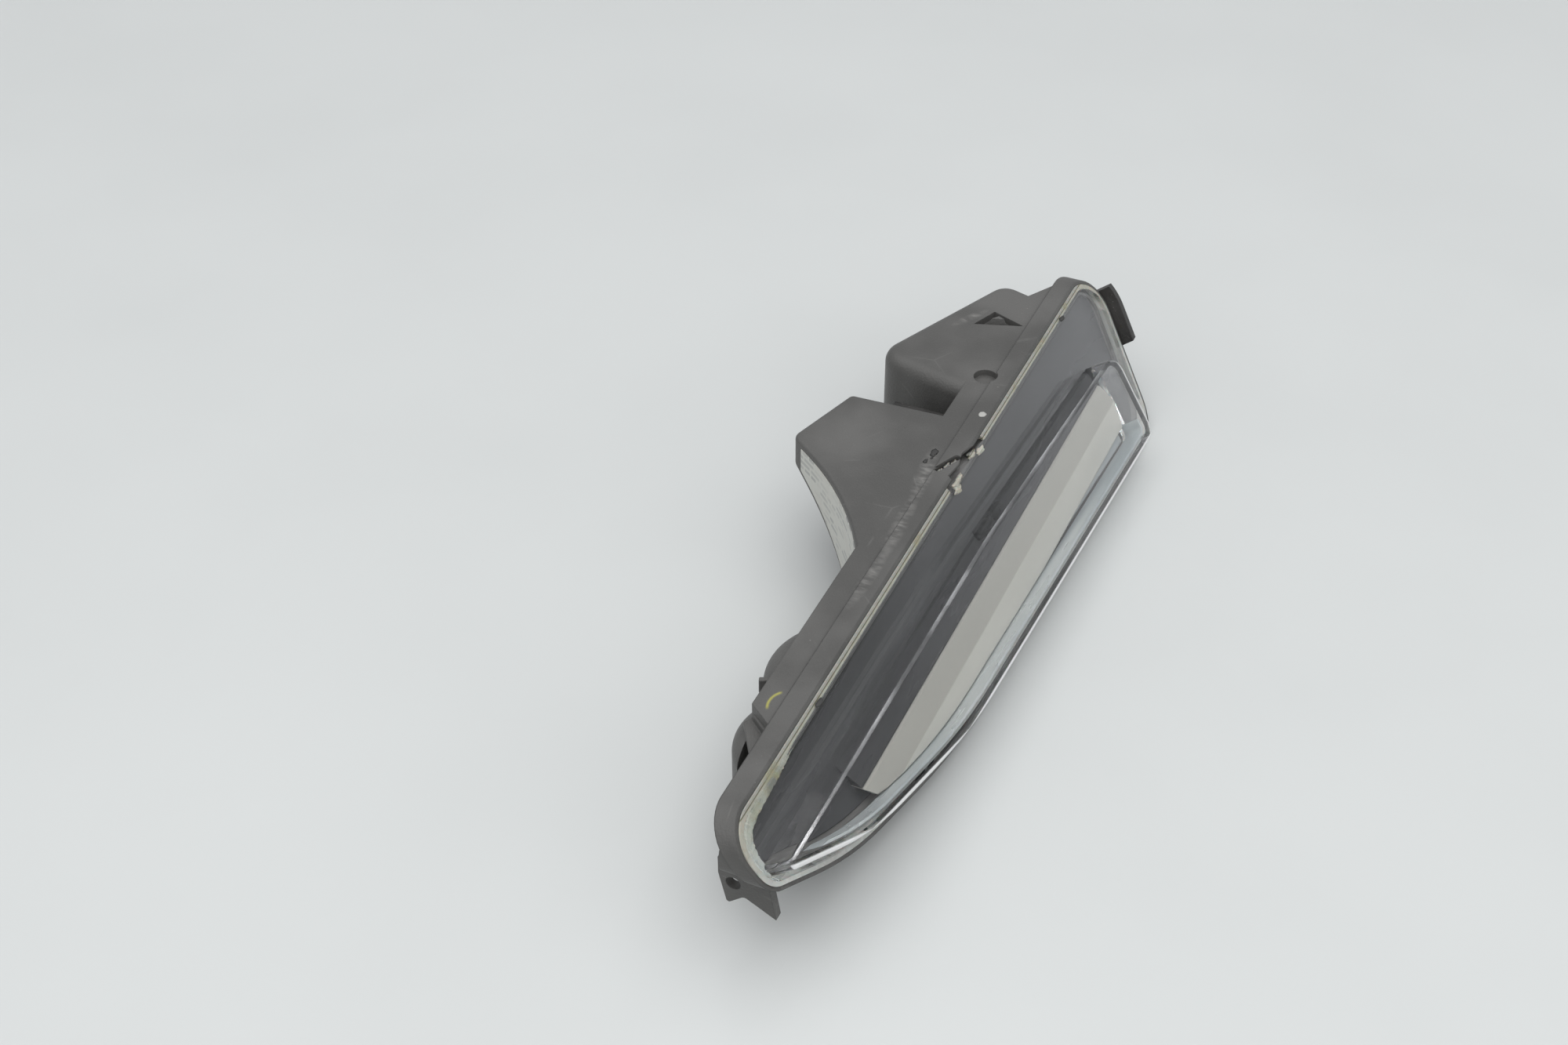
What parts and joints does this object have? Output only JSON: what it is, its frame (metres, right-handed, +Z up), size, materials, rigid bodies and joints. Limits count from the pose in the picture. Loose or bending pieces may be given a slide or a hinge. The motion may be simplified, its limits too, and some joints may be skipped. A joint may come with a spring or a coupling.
{
  "type": "auxiliary driving light",
  "caption": "Leaf-shaped auxiliary driving light: dark moulded housing with rear lobes, clear lens with a raised bar over a white light guide, milky seal bead, worn and torn rim.",
  "frame": {"origin": "on the floor under the middle rib of the housing's underside, where the lamp rests", "axes": "+X along the lens from the pointed near end to the broad far end, +Y to the rear, +Z up"},
  "size_m": [0.302, 0.0946, 0.046],
  "materials": {
    "housing": "matte",
    "outer_lens": "clear",
    "lens_seal_bead": "milky",
    "inner_bezel": "satin",
    "light_guide": "satin",
    "lower_reflector": "satin",
    "led_board": "satin",
    "leds": "gloss",
    "heat_sink": "satin",
    "screws": "satin",
    "driver_board": "satin",
    "driver_choke": "matte",
    "driver_capacitors": "satin",
    "driver_chips": "matte",
    "driver_gasket": "matte",
    "driver_cover": "matte",
    "connector_shroud": "satin",
    "brass": "satin",
    "breather_cap": "matte",
    "far_end_clip": "satin",
    "rating_label": "satin",
    "broken_lug": "matte"
  },
  "bodies": {
    "root": {"housing": "housing", "outer_lens": "outer_lens", "lens_seal_bead": "lens_seal_bead", "inner_bezel": "inner_bezel", "light_guide": "light_guide", "lower_reflector": "lower_reflector", "led_board": "led_board", "leds": "leds", "heat_sink": "heat_sink", "board_screws": "screws", "driver_board": "driver_board", "driver_choke": "driver_choke", "driver_capacitors": "driver_capacitors", "driver_chips": "driver_chips", "driver_gasket": "driver_gasket", "driver_cover": "driver_cover", "cover_screws": "screws", "connector_shroud": "connector_shroud", "connector_pins": "brass", "breather_cap": "breather_cap", "fixing_inserts": "brass", "far_end_clip": "far_end_clip", "rating_label": "rating_label", "broken_lug": "broken_lug"}
  },
  "joints": []
}
